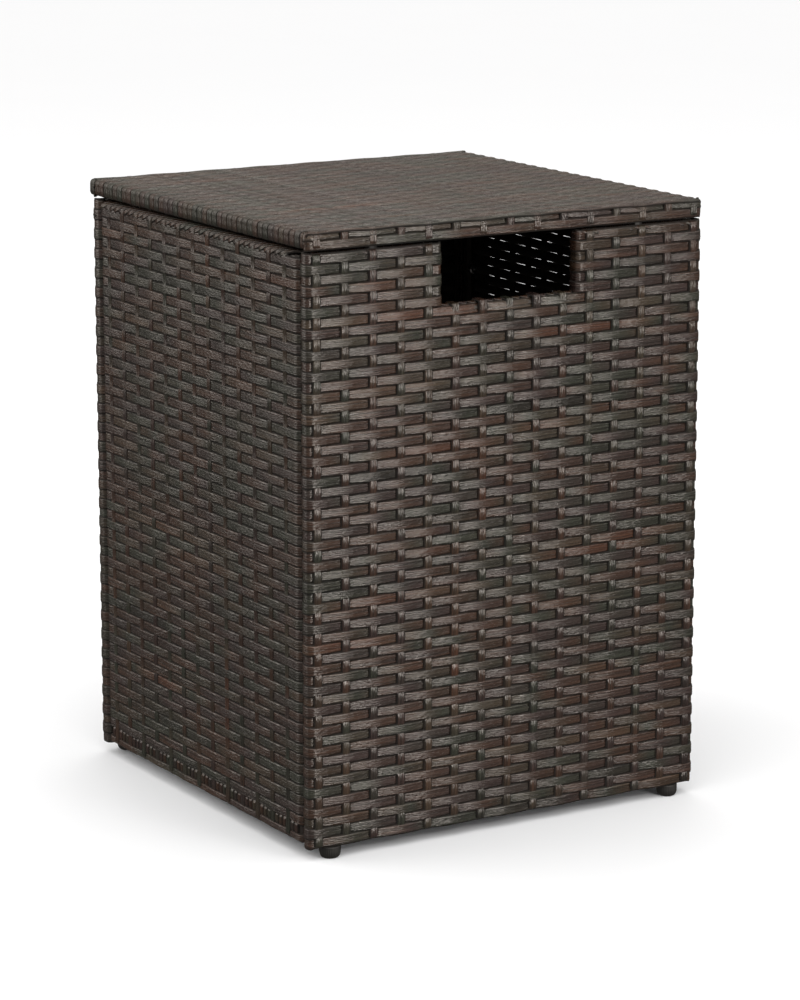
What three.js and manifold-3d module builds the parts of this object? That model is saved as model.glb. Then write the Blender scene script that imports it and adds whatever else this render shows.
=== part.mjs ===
// Square garden side table in flat resin wicker that drops over a gas bottle and hides it.
// Four woven panels on round steel tube are bolted together, and a woven lid lifts off.
// Millimetres, +Z up. The origin is on the floor under the middle, and the front wall faces -Y.

import * as THREE from 'three';
import { mergeVertices } from 'three/addons/utils/BufferGeometryUtils.js';
import Module from 'manifold-3d';

const wasm = await Module();
wasm.setup();

// Overall sizes
const boxWidth = 400;
const boxDepth = 400;
const bodyHeight = 513;
const footHeight = 11;
const lidGap = 3;

// Round steel tube and the strands wound round it
const tubeDiameter = 10;
const tubeWall = 1.2;
const wrapLayer = 2.7;
const fitGap = 0.3;

// Flat strands of the weave
const strandPitch = 9;
const sheetThickness = 3;
const grooveDepth = 1.1;
const grooveWidth = 2.4;
const stakeWidth = 8;
const stakeThickness = 1.5;
const stakePitch = 27.2;
const sideStakes = 12;
const sideStakeShift = 10.3;
const edgeRadius = 5;
const cornerRadius = 6;

// Hose and hand slot in the top of the front wall
const slotWidth = 134;
const slotDepth = 51;

// Levelling feet, their threaded inserts and studs
const footInset = 24;
const footDiameter = 18.7;
const footBottomDiameter = 13.4;
const footBottomRound = 1;
const footRimHeight = 1.6;
const footRimStep = 0.7;
const ribDepth = 0.5;
const ribCount = 12;
const studDiameter = 5;
const studReach = 10.5;
const studSink = 6;
const insertDiameter = 7;

// Bolts that hold the side panels to the corner posts
const boltInset = 92;
const boltDiameter = 5;
const boltHeadDiameter = 9;
const boltHeadHeight = 2.8;
const boltHeadDome = 0.9;
const socketDiameter = 3.6;
const socketDepth = 1.8;
const nutDiameter = 7;

// Plastic pegs that carry the lid and stop it sliding
const pegInset = 66;
const pegDiameter = 5;
const pegTipDiameter = 3.6;
const pegTipLength = 2.5;
const pegReach = 9.5;
const pegShank = 5;
const collarDiameter = 10;
const pegClearance = 0.5;

// How finely round shapes are cut, and how far a cut runs past a face
const tubeSides = 8;
const smallSides = 8;
const endSteps = 4;
const wrapSteps = 1;
const edgeSteps = 2;
const overrun = 1;
const weldDistance = 0.0001;

// Sizes worked out from the ones above
const tubeRadius = tubeDiameter / 2;
const memberRadius = tubeRadius + fitGap + wrapLayer;
const member = 2 * memberRadius;
const bodyRows = Math.round(bodyHeight / strandPitch);
const lidRows = Math.round(boxDepth / strandPitch);
const lidTop = footHeight + bodyHeight + lidGap + member;
const sideLength = boxDepth - 2 * (member + fitGap);
const stakeRoom = boxWidth / 2 - member - stakeWidth / 2;
const frontStakes = 2 * Math.floor(stakeRoom / stakePitch) + 1;
const sillHeight = bodyHeight - slotDepth - memberRadius;
const jambOffset = slotWidth / 2 + memberRadius;
const footOffset = boxWidth / 2 - footInset;
const pegOffset = boxWidth / 2 - pegInset;
const crossBarOffset = 2.5 * stakePitch;
const boltHeights = [boltInset, bodyHeight - boltInset];

// Materials, one for each finish
function wickerFinish() {
  return new THREE.MeshStandardMaterial({ color: 0x3f3631, roughness: 0.55, metalness: 0 });
}

function coatedSteelFinish() {
  return new THREE.MeshStandardMaterial({ color: 0x2c2a29, roughness: 0.5, metalness: 0.2 });
}

function zincFinish() {
  return new THREE.MeshStandardMaterial({ color: 0x9a9da0, roughness: 0.35, metalness: 0.9 });
}

function blackPlasticFinish() {
  return new THREE.MeshStandardMaterial({ color: 0x17181a, roughness: 0.5, metalness: 0 });
}

// Closed geometry to solid and back
function toSolid(geometry) {
  geometry.deleteAttribute('normal');
  geometry.deleteAttribute('uv');
  const merged = mergeVertices(geometry, weldDistance);
  return new wasm.Manifold(new wasm.Mesh({
    numProp: 3,
    vertProperties: merged.attributes.position.array,
    triVerts: new Uint32Array(merged.index.array),
  }));
}

function toGeometry(solid) {
  const mesh = solid.getMesh();
  const geometry = new THREE.BufferGeometry();
  geometry.setAttribute('position', new THREE.BufferAttribute(new Float32Array(mesh.vertProperties), 3));
  geometry.setIndex(new THREE.BufferAttribute(new Uint32Array(mesh.triVerts), 1));
  const flat = geometry.toNonIndexed();
  flat.computeVertexNormals();
  return flat;
}

function piece(name, solid, finish) {
  const mesh = new THREE.Mesh(toGeometry(solid), finish());
  mesh.name = name;
  return mesh;
}

// A box between two corners
function block(low, high) {
  const size = high.map((value, i) => value - low[i]);
  const middle = high.map((value, i) => (value + low[i]) / 2);
  return toSolid(new THREE.BoxGeometry(...size).translate(...middle));
}

// A round bar along x, y or z from start to end; at gives its other two coordinates in x, y, z order
function roundBar(axis, diameter, start, end, at, sides = tubeSides) {
  const geometry = new THREE.CylinderGeometry(diameter / 2, diameter / 2, end - start, sides);
  if (axis === 'x') geometry.rotateZ(-Math.PI / 2);
  if (axis === 'z') geometry.rotateX(Math.PI / 2);
  const place = [...at];
  place.splice('xyz'.indexOf(axis), 0, (start + end) / 2);
  return toSolid(geometry.translate(...place));
}

function tube(axis, start, end, at) {
  const bore = tubeDiameter - 2 * tubeWall;
  return roundBar(axis, tubeDiameter, start, end, at)
    .subtract(roundBar(axis, bore, start - overrun, end + overrun, at));
}

// What a tube leaves free round itself in a neighbour
function tubeRoom(axis, start, end, at) {
  return roundBar(axis, tubeDiameter + 2 * fitGap, start - fitGap, end + fitGap, at);
}

// A solid turned from a profile of [radius, height] points that starts and ends on the axis
function turned(profile, sides = smallSides) {
  const points = profile.map(([radius, height]) => new THREE.Vector2(radius, height));
  return toSolid(new THREE.LatheGeometry(points, sides).rotateX(Math.PI / 2));
}

// Closed solid from columns of [x, y, z] points, listed anticlockwise seen from above. Every column
// climbs from the bottom face to the top face, and may have its own number of points.
function zipped(columns) {
  const positions = [];
  const faces = [];
  const firsts = columns.map((column) => {
    const first = positions.length / 3;
    positions.push(...column.flat());
    return first;
  });
  columns.forEach((column, c) => {
    const next = (c + 1) % columns.length;
    const other = columns[next];
    let i = 0;
    let j = 0;
    while (i + 1 < column.length || j + 1 < other.length) {
      const here = firsts[c] + i;
      const there = firsts[next] + j;
      const lower = j + 1 < other.length && (i + 1 === column.length || other[j + 1][2] <= column[i + 1][2]);
      faces.push(here, there, lower ? there + 1 : here + 1);
      if (lower) j++;
      else i++;
    }
  });
  const outline = (ends) => ends.map(([x, y]) => new THREE.Vector2(x, y));
  const bottom = columns.map((column) => column[0]);
  const top = columns.map((column) => column.at(-1));
  for (const [a, b, c] of THREE.ShapeUtils.triangulateShape(outline(bottom), []))
    faces.push(firsts[c], firsts[b], firsts[a]);
  const lasts = columns.map((column, c) => firsts[c] + column.length - 1);
  for (const [a, b, c] of THREE.ShapeUtils.triangulateShape(outline(top), []))
    faces.push(lasts[a], lasts[b], lasts[c]);
  const geometry = new THREE.BufferGeometry();
  geometry.setAttribute('position', new THREE.Float32BufferAttribute(positions, 3));
  geometry.setIndex(faces);
  return toSolid(geometry);
}

// Heights and insets along a grooved column: each row is a flat crown between two half grooves
function groovedStations(rows, pitch) {
  const stations = [];
  for (let row = 0; row < rows; row++) {
    const low = row * pitch;
    stations.push([low, grooveDepth]);
    stations.push([low + grooveWidth / 2, 0]);
    stations.push([low + pitch - grooveWidth / 2, 0]);
  }
  stations.push([rows * pitch, grooveDepth]);
  return stations;
}

// Where the grooves have faded out, a column has one point at the middle of each row
function fadedStations(rows, pitch) {
  const middles = Array.from({ length: rows }, (_, row) => [(row + 1 / 2) * pitch, 0]);
  return [[0, 0], ...middles, [rows * pitch, 0]];
}

// Weft rows stacked along z on a core with a flat inner side and two half-round ends. The rows
// are ribs on the outer side y = 0, and run on round both ends for grooveSteps steps.
function weftRows(length, rows, pitch, grooveSteps) {
  const straight = length / 2 - memberRadius;
  const columns = [];
  for (const side of [-1, 1]) {
    for (let i = 0; i <= endSteps; i++) {
      const step = side < 0 ? endSteps - i : i;
      const angle = Math.PI * (step / endSteps - 1 / 2);
      let stations = [[0, 0], [rows * pitch, 0]];
      if (step <= grooveSteps) stations = groovedStations(rows, pitch);
      else if (step === grooveSteps + 1) stations = fadedStations(rows, pitch);
      columns.push(stations.map(([height, inset]) => [
        side * (straight + (memberRadius - inset) * Math.cos(angle)),
        memberRadius + (memberRadius - inset) * Math.sin(angle),
        height,
      ]));
    }
  }
  return zipped(columns);
}

function roundedRectangle(width, height, radius) {
  const shape = new THREE.Shape();
  shape.absarc(radius, radius, radius, Math.PI, 1.5 * Math.PI);
  shape.absarc(width - radius, radius, radius, 1.5 * Math.PI, 2 * Math.PI);
  shape.absarc(width - radius, height - radius, radius, 0, Math.PI / 2);
  shape.absarc(radius, height - radius, radius, Math.PI / 2, Math.PI);
  return shape;
}

// What a panel keeps: its first and last rows rounded off, and its four corners too
function softenedBox(length, height, radius, corner) {
  const settings = { bevelEnabled: false, curveSegments: edgeSteps };
  const section = new THREE.ExtrudeGeometry(
    roundedRectangle(member, height, radius),
    { ...settings, depth: length + 2 * overrun },
  );
  const along = new THREE.Matrix4().makeBasis(
    new THREE.Vector3(0, 1, 0),
    new THREE.Vector3(0, 0, 1),
    new THREE.Vector3(1, 0, 0),
  );
  section.applyMatrix4(along).translate(-length / 2 - overrun, 0, 0);
  const front = new THREE.ExtrudeGeometry(
    roundedRectangle(length, height, corner),
    { ...settings, depth: member + 2 * overrun },
  );
  front.rotateX(Math.PI / 2).translate(-length / 2, member + overrun, 0);
  return toSolid(section).intersect(toSolid(front));
}

// Upright strands behind the rows
function stakes(height, count, shift) {
  const bars = [];
  for (let i = 0; i < count; i++) {
    const x = shift + (i - (count - 1) / 2) * stakePitch;
    bars.push(block(
      [x - stakeWidth / 2, sheetThickness - stakeThickness, member - stakeThickness],
      [x + stakeWidth / 2, sheetThickness + stakeThickness, height - member + stakeThickness],
    ));
  }
  return bars;
}

// Rows and stakes of a panel whose outer face is y = 0, thick only where its edges are wrapped
function rowsAndStakes({ length, rows, pitch, grooveSteps, stakeCount, shift }) {
  const height = rows * pitch;
  const field = block(
    [member - length / 2, sheetThickness, member],
    [length / 2 - member, member + overrun, height - member],
  );
  const sheet = weftRows(length, rows, pitch, grooveSteps).subtract(field);
  return stakes(height, stakeCount, shift).reduce((solid, bar) => solid.add(bar), sheet);
}

// Room for the ring of frame tubes inside a panel's wrapped edges
function frameRoom(length, height) {
  const x = length / 2 - memberRadius;
  const far = height - memberRadius;
  return tubeRoom('z', wrapLayer + fitGap, height - wrapLayer - fitGap, [-x, memberRadius])
    .add(tubeRoom('z', wrapLayer + fitGap, height - wrapLayer - fitGap, [x, memberRadius]))
    .add(tubeRoom('x', -x, x, [memberRadius, memberRadius]))
    .add(tubeRoom('x', -x, x, [memberRadius, far]));
}

// An upright tube of a wall frame
function upright(x) {
  return tube('z', wrapLayer + fitGap, bodyHeight - wrapLayer - fitGap, [x, memberRadius]);
}

// A level tube between two uprights, coped round both
function levelTube(from, to, height) {
  const bottom = height - member;
  const top = height + member;
  return tube('x', from, to, [memberRadius, height])
    .subtract(tubeRoom('z', bottom, top, [from, memberRadius]))
    .subtract(tubeRoom('z', bottom, top, [to, memberRadius]));
}

// Hole in the underside of a bottom rail for a foot's insert, which also opens the wrapping
function footHole(x) {
  const diameter = insertDiameter + 2 * fitGap;
  return roundBar('z', diameter, -overrun, memberRadius, [x, memberRadius], smallSides);
}

// Hole in the top of a top rail for a lid peg
function pegHole(x) {
  const diameter = pegDiameter + 2 * pegClearance;
  const low = bodyHeight - memberRadius;
  return roundBar('z', diameter, low, bodyHeight + overrun, [x, memberRadius], smallSides);
}

function boltHole(axis, start, end, at) {
  return roundBar(axis, boltDiameter + 2 * fitGap, start, end, at, smallSides);
}

// A corner post with a rivet nut in it behind each bolt hole
function cornerPost(x) {
  const solidTube = roundBar('z', tubeDiameter, 0, bodyHeight, [x, memberRadius]);
  let post = upright(x);
  for (const height of boltHeights) {
    const nut = roundBar('y', nutDiameter, memberRadius, member, [x, height], smallSides);
    const hole = boltHole('y', memberRadius - overrun, member, [x, height]);
    post = post.add(nut.intersect(solidTube)).subtract(hole);
  }
  return post;
}

// A side panel's upright with its two bolt holes
function sideStile(x) {
  let stile = upright(x);
  for (const height of boltHeights) {
    const hole = boltHole('x', x - memberRadius, x + memberRadius, [memberRadius, height]);
    stile = stile.subtract(hole);
  }
  return stile;
}

function bottomRail(postOffset) {
  return levelTube(-postOffset, postOffset, memberRadius)
    .subtract(footHole(-footOffset))
    .subtract(footHole(footOffset));
}

// Holes through a front or back panel's wrapping for feet, lid pegs and bolts
function openWrapping(weave) {
  const x = boxWidth / 2 - memberRadius;
  for (const side of [-1, 1]) {
    weave = weave.subtract(footHole(side * footOffset)).subtract(pegHole(side * pegOffset));
    for (const height of boltHeights)
      weave = weave.subtract(boltHole('y', memberRadius, member + overrun, [side * x, height]));
  }
  return weave;
}

const wideWall = {
  length: boxWidth,
  rows: bodyRows,
  pitch: bodyHeight / bodyRows,
  grooveSteps: wrapSteps,
  stakeCount: frontStakes,
  shift: 0,
};

// The front panel: the slot is cut through rows and stakes, and its sides and sill are wrapped
function frontWeave() {
  const high = bodyHeight + overrun;
  const slot = block([-jambOffset, -overrun, sillHeight], [jambOffset, member + overrun, high]);
  const jambs = [-jambOffset, jambOffset].map((x) =>
    roundBar('z', member, sillHeight - memberRadius, bodyHeight, [x, memberRadius]));
  const sill = roundBar('x', member, -jambOffset, jambOffset, [memberRadius, sillHeight]);
  const weave = rowsAndStakes(wideWall)
    .subtract(slot)
    .add(jambs[0].add(jambs[1]).add(sill))
    .intersect(softenedBox(boxWidth, bodyHeight, edgeRadius, cornerRadius));
  const postOffset = boxWidth / 2 - memberRadius;
  const jambTop = bodyHeight - wrapLayer - fitGap;
  const room = frameRoom(boxWidth, bodyHeight)
    .add(tubeRoom('x', -postOffset, postOffset, [memberRadius, sillHeight]))
    .add(tubeRoom('z', sillHeight, jambTop, [-jambOffset, memberRadius]))
    .add(tubeRoom('z', sillHeight, jambTop, [jambOffset, memberRadius]));
  return openWrapping(weave.subtract(room));
}

function frontWall() {
  const postOffset = boxWidth / 2 - memberRadius;
  const topRail = bodyHeight - memberRadius;
  const jambTop = bodyHeight - wrapLayer - fitGap;
  const sill = levelTube(-postOffset, postOffset, sillHeight);
  const wall = new THREE.Group();
  wall.add(
    piece('front_weave', frontWeave(), wickerFinish),
    piece('front_left_post', cornerPost(-postOffset), coatedSteelFinish),
    piece('front_right_post', cornerPost(postOffset), coatedSteelFinish),
    piece('front_bottom_rail', bottomRail(postOffset), coatedSteelFinish),
    piece('front_sill_rail', sill, coatedSteelFinish),
  );
  for (const [name, side] of [['left', -1], ['right', 1]]) {
    const jamb = tube('z', sillHeight, jambTop, [side * jambOffset, memberRadius])
      .subtract(tubeRoom('x', -postOffset, postOffset, [memberRadius, sillHeight]));
    const ends = [side * jambOffset, side * postOffset].sort((a, b) => a - b);
    const stub = levelTube(...ends, topRail).subtract(pegHole(side * pegOffset));
    wall.add(
      piece(`slot_${name}_jamb`, jamb, coatedSteelFinish),
      piece(`front_${name}_top_rail`, stub, coatedSteelFinish),
    );
  }
  wall.position.set(0, -boxDepth / 2, footHeight);
  return wall;
}

function backWall() {
  const postOffset = boxWidth / 2 - memberRadius;
  const weave = rowsAndStakes(wideWall)
    .intersect(softenedBox(boxWidth, bodyHeight, edgeRadius, cornerRadius))
    .subtract(frameRoom(boxWidth, bodyHeight));
  const topRail = levelTube(-postOffset, postOffset, bodyHeight - memberRadius)
    .subtract(pegHole(-pegOffset))
    .subtract(pegHole(pegOffset));
  const wall = new THREE.Group();
  wall.add(
    piece('back_weave', openWrapping(weave), wickerFinish),
    piece('back_right_post', cornerPost(-postOffset), coatedSteelFinish),
    piece('back_left_post', cornerPost(postOffset), coatedSteelFinish),
    piece('back_bottom_rail', bottomRail(postOffset), coatedSteelFinish),
    piece('back_top_rail', topRail, coatedSteelFinish),
  );
  wall.position.set(0, boxDepth / 2, footHeight);
  wall.rotation.z = Math.PI;
  return wall;
}

// A button-head bolt along x, with its head at the low end of x and a socket in it
function panelBolt(length) {
  const head = boltHeadDiameter / 2;
  const bolt = turned([
    [0, 0],
    [head - boltHeadDome, 0],
    [head, boltHeadDome],
    [head, boltHeadHeight],
    [boltDiameter / 2, boltHeadHeight],
    [boltDiameter / 2, boltHeadHeight + length],
    [0, boltHeadHeight + length],
  ]);
  const sixSides = 6;
  return bolt.subtract(roundBar('z', socketDiameter, -overrun, socketDepth, [0, 0], sixSides));
}

// A side panel fits between the front and back panels and is bolted to their posts.
// Its +x end is the front one on the left wall, and the back one on the right wall.
function sideWall(name, side) {
  const postOffset = sideLength / 2 - memberRadius;
  const endNames = side < 0 ? ['back', 'front'] : ['front', 'back'];
  const plan = {
    length: sideLength,
    rows: bodyRows,
    pitch: bodyHeight / bodyRows,
    grooveSteps: 0,
    stakeCount: sideStakes,
    shift: -side * sideStakeShift,
  };
  let weave = rowsAndStakes(plan)
    .intersect(softenedBox(sideLength, bodyHeight, edgeRadius, cornerRadius))
    .subtract(frameRoom(sideLength, bodyHeight));
  const wall = new THREE.Group();
  endNames.forEach((end, i) => {
    const direction = i === 0 ? -1 : 1;
    const face = direction * (sideLength / 2 - member);
    const tip = direction * (sideLength / 2 + overrun);
    wall.add(piece(`${name}_${end}_stile`, sideStile(direction * postOffset), coatedSteelFinish));
    boltHeights.forEach((height, level) => {
      const span = [face - direction * overrun, tip].sort((a, b) => a - b);
      weave = weave.subtract(boltHole('x', ...span, [memberRadius, height]));
      const length = member + fitGap + memberRadius + fitGap;
      const bolt = piece(`${end}_${name}_${['lower', 'upper'][level]}_bolt`, panelBolt(length), zincFinish);
      bolt.rotation.y = direction * Math.PI / 2;
      bolt.position.set(face - direction * (boltHeadHeight + fitGap), memberRadius, height);
      wall.add(bolt);
    });
  });
  wall.add(
    piece(`${name}_weave`, weave, wickerFinish),
    piece(`${name}_bottom_rail`, levelTube(-postOffset, postOffset, memberRadius), coatedSteelFinish),
    piece(`${name}_top_rail`, levelTube(-postOffset, postOffset, bodyHeight - memberRadius), coatedSteelFinish),
  );
  wall.position.set(side * boxWidth / 2, 0, footHeight);
  wall.rotation.z = side * Math.PI / 2;
  return wall;
}

// A lid rail along x with mitred ends, whose outer side is near y = 0
function mitredRail(length) {
  const outer = length / 2 - fitGap;
  const shape = new THREE.Shape([
    new THREE.Vector2(-outer, 0),
    new THREE.Vector2(outer, 0),
    new THREE.Vector2(outer - member, member),
    new THREE.Vector2(member - outer, member),
  ]);
  const cut = new THREE.ExtrudeGeometry(shape, { depth: member, bevelEnabled: false });
  return tube('x', -length / 2, length / 2, [memberRadius, memberRadius])
    .intersect(toSolid(cut));
}

// The peg's hole through the lower half of a lid rail and its wrapping
function lidPegHole(x, y) {
  const diameter = pegDiameter + 2 * fitGap;
  return roundBar('z', diameter, -overrun, memberRadius, [x, y], smallSides);
}

// The lid's weave, laid flat with its underside at z = 0: the rows run along x and wrap its ends
function lidWeave() {
  const plan = {
    length: boxWidth,
    rows: lidRows,
    pitch: boxDepth / lidRows,
    grooveSteps: wrapSteps,
    stakeCount: frontStakes,
    shift: 0,
  };
  const weave = rowsAndStakes(plan)
    .intersect(softenedBox(boxWidth, boxDepth, memberRadius, cornerRadius));
  const x = boxWidth / 2 - memberRadius;
  const y = boxDepth - memberRadius;
  const skin = wrapLayer + fitGap;
  let hollow = tubeRoom('z', skin, boxDepth - skin, [-x, memberRadius])
    .add(tubeRoom('z', skin, boxDepth - skin, [x, memberRadius]))
    .add(tubeRoom('x', skin - boxWidth / 2, boxWidth / 2 - skin, [memberRadius, memberRadius]))
    .add(tubeRoom('x', skin - boxWidth / 2, boxWidth / 2 - skin, [memberRadius, y]));
  for (const side of [-1, 1])
    hollow = hollow.add(tubeRoom('z', memberRadius, y, [side * crossBarOffset, memberRadius]));
  return weave.subtract(hollow);
}

// The lid: a mitred tube ring with two cross bars, wrapped and woven over
function lid() {
  const group = new THREE.Group();
  const laid = new THREE.Group();
  const pegHoles = [-1, 1].flatMap((side) => [
    lidPegHole(side * pegOffset, memberRadius),
    lidPegHole(side * pegOffset, boxDepth - memberRadius),
  ]);
  const flat = toSolid(toGeometry(lidWeave()).rotateX(-Math.PI / 2).translate(0, 0, member));
  const weave = pegHoles.reduce((solid, hole) => solid.subtract(hole), flat);
  laid.add(piece('lid_weave', weave, wickerFinish));
  const drilled = mitredRail(boxWidth)
    .subtract(lidPegHole(-pegOffset, memberRadius))
    .subtract(lidPegHole(pegOffset, memberRadius));
  const sideRail = mitredRail(boxDepth);
  const places = [
    ['lid_front_rail', drilled, 0, [0, 0]],
    ['lid_right_rail', sideRail, Math.PI / 2, [boxWidth / 2, boxDepth / 2]],
    ['lid_back_rail', drilled, Math.PI, [0, boxDepth]],
    ['lid_left_rail', sideRail, -Math.PI / 2, [-boxWidth / 2, boxDepth / 2]],
  ];
  for (const [name, solid, turn, [x, y]] of places) {
    const mesh = piece(name, solid, coatedSteelFinish);
    mesh.rotation.z = turn;
    mesh.position.set(x, y, 0);
    laid.add(mesh);
  }
  for (const [name, side] of [['left', -1], ['right', 1]]) {
    const x = side * crossBarOffset;
    const bar = tube('y', memberRadius, boxDepth - memberRadius, [x, memberRadius])
      .subtract(tubeRoom('x', x - member, x + member, [memberRadius, memberRadius]))
      .subtract(tubeRoom('x', x - member, x + member, [boxDepth - memberRadius, memberRadius]));
    laid.add(piece(`lid_${name}_cross_bar`, bar, coatedSteelFinish));
  }
  laid.position.set(0, -boxDepth / 2, lidTop - member);
  group.add(laid, lidPegs());
  return group;
}

// Pegs: a shank in the lid's rail, a collar that holds the gap, and a pin in the wall's top rail
function lidPegs() {
  const pegs = new THREE.Group();
  const tip = -fitGap - pegReach;
  const peg = turned([
    [0, tip],
    [pegTipDiameter / 2, tip],
    [pegDiameter / 2, tip + pegTipLength],
    [pegDiameter / 2, fitGap],
    [collarDiameter / 2, fitGap],
    [collarDiameter / 2, lidGap - fitGap],
    [pegDiameter / 2, lidGap - fitGap],
    [pegDiameter / 2, lidGap + pegShank],
    [0, lidGap + pegShank],
  ]);
  for (const [end, ySide] of [['front', -1], ['back', 1]]) {
    for (const [name, xSide] of [['left', -1], ['right', 1]]) {
      const mesh = piece(`${end}_${name}_lid_peg`, peg, blackPlasticFinish);
      const y = ySide * (boxDepth / 2 - memberRadius);
      mesh.position.set(xSide * pegOffset, y, footHeight + bodyHeight);
      pegs.add(mesh);
    }
  }
  return pegs;
}

// A foot's moulded base: ribbed, widest near its top, with a socket for the stud
function footBase() {
  const top = footHeight - fitGap;
  const bottom = footBottomDiameter / 2;
  const side = footDiameter / 2;
  const stations = [
    [0, bottom - footBottomRound, 0],
    [footBottomRound, bottom, ribDepth],
    [top - footRimHeight, side, ribDepth],
    [top, side - footRimStep, 0],
  ];
  const columns = Array.from({ length: 2 * ribCount }, (_, i) => {
    const angle = (i / ribCount) * Math.PI;
    return stations.map(([height, radius, groove]) => {
      const reach = radius - (i % 2) * groove;
      return [reach * Math.cos(angle), reach * Math.sin(angle), height];
    });
  });
  const socketSize = studDiameter + 2 * fitGap;
  const socket = roundBar('z', socketSize, top - studSink, top + overrun, [0, 0], smallSides);
  return zipped(columns).subtract(socket);
}

// The steel stud stands in the base's socket and screws into the insert
function footStud() {
  const low = footHeight - studSink;
  return roundBar('z', studDiameter, low, footHeight + studReach, [0, 0], smallSides);
}

// The threaded insert, welded into the underside of the bottom rail as far as the tube's middle
function footInsert() {
  const low = footHeight + memberRadius - tubeRadius;
  const high = footHeight + memberRadius - fitGap;
  const bore = studDiameter + 2 * fitGap;
  return roundBar('z', insertDiameter, low, high, [0, 0], smallSides)
    .subtract(roundBar('z', bore, low - overrun, high + overrun, [0, 0], smallSides));
}

function feet() {
  const group = new THREE.Group();
  for (const [end, ySide] of [['front', -1], ['back', 1]]) {
    for (const [name, xSide] of [['left', -1], ['right', 1]]) {
      const foot = new THREE.Group();
      foot.add(
        piece(`${end}_${name}_foot`, footBase(), blackPlasticFinish),
        piece(`${end}_${name}_foot_stud`, footStud(), zincFinish),
        piece(`${end}_${name}_foot_insert`, footInsert(), zincFinish),
      );
      foot.position.set(xSide * footOffset, ySide * (boxDepth / 2 - memberRadius), 0);
      group.add(foot);
    }
  }
  return group;
}

const table = new THREE.Group();
table.add(frontWall(), backWall(), sideWall('left', -1), sideWall('right', 1), lid(), feet());

export default table;
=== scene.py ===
"""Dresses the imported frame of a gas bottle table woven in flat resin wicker.

Every woven strand is swept as its own ribbed strip over and under the others. The steel tubes, bolts,
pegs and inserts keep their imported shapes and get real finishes."""

import math
from collections import namedtuple

import bmesh
import bpy
import numpy as np
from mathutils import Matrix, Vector


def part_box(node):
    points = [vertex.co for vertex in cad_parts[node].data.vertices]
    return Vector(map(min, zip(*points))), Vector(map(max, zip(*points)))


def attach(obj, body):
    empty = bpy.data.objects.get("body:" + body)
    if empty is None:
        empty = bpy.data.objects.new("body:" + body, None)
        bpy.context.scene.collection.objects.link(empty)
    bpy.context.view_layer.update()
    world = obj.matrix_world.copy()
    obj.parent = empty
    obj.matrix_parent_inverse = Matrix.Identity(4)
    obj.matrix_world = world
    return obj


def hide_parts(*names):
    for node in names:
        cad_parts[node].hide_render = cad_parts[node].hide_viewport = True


bl_info = {
    "name": "Woven Tank Table",
    "version": (1, 0, 0),
    "blender": (4, 5, 0),
    "location": "View3D > Sidebar > Tank Table",
    "description": "Weaves the walls and lid of a tank cover table and finishes its frame",
    "category": "Object",
}

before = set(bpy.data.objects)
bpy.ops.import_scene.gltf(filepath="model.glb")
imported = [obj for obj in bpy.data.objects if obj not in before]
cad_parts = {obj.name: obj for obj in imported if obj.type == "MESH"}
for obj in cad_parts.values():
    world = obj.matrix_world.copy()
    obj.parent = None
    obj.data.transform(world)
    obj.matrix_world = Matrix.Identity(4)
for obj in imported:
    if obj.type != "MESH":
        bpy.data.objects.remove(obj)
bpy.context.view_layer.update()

MM = 0.001

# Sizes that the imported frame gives
FRONT_LOW, FRONT_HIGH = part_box("front_weave")
SIDE_LOW, SIDE_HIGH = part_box("left_weave")
LID_LOW, LID_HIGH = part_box("lid_weave")
LID_THICKNESS = LID_HIGH.z - LID_LOW.z
MEMBER_RADIUS = LID_THICKNESS / 2
SILL_LOW, SILL_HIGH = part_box("front_sill_rail")
JAMB_LOW, JAMB_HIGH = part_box("slot_right_jamb")
SILL_HEIGHT = (SILL_LOW.z + SILL_HIGH.z) / 2
JAMB_OFFSET = (JAMB_LOW.x + JAMB_HIGH.x) / 2
CORNERS = ("front_left", "front_right", "back_left", "back_right")

# How the strip's ribbed section goes across its width and through its thickness, as shares of both. The
# last two points are its underside. It is thicker than a real strip's, so no light shows between strips
SECTION_ACROSS_SHARES = (-1.0, -0.81, -0.76, -0.69, -0.61, -0.45, -0.28, -0.08, 0.12, 0.31, 0.49, 0.6, 0.7,
                         0.76, 0.81, 1.0, 1.0, -1.0)
SECTION_DEPTH_SHARES = (0.97, 0.92, 0.42, 0.15, 0.05, 0.27, 0.04, 0.24, 0.05, 0.29, 0.12, 0.15, 0.25,
                        0.46, 0.86, 0.9, 1.6, 1.6)
UNDERSIDE_POINTS = 2

# Beyond this share of the half width lie the strip's lips and its underside. They are matt, and their
# colour is darkened with painted shade that stands for the shadow in the gap between two strips
LIP_SHARE = 0.8

# How a strand changes where it turns round a tube: flatter ribs, a little more width, and the share of
# the turn by which both are reached
CORNER_RELIEF_SHARE = 0.25
LID_EDGE_RELIEF_SHARE = 0.65
CORNER_WIDTH_SHARE = 1.08
FULL_BEND_SHARE = 0.4

# How a row goes over and under: the power that arches it where it lies on top, its points there in
# shares of the stakes' pitch, how much shallower it lies past the last stake and over what length
ROW_ARCH = 1.6
ROW_BEND_SHARES = (-0.26, -0.09, 0.09, 0.26)
PLAIN_SHALLOWER_SHARE = 0.7
PLAIN_FADE = 7 * MM

# Where the right wall's gaps begin, in shares of the stakes' pitch from its ends, and how fast
GAP_START_SHARE = 0.8
GAP_FADE = 2 * MM

# How fast the leaning sill row tips, and how fast the lid's rows slant on its side edges
LEAN_FADE = 2 * MM
SLANT_FADE = 14 * MM

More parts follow.
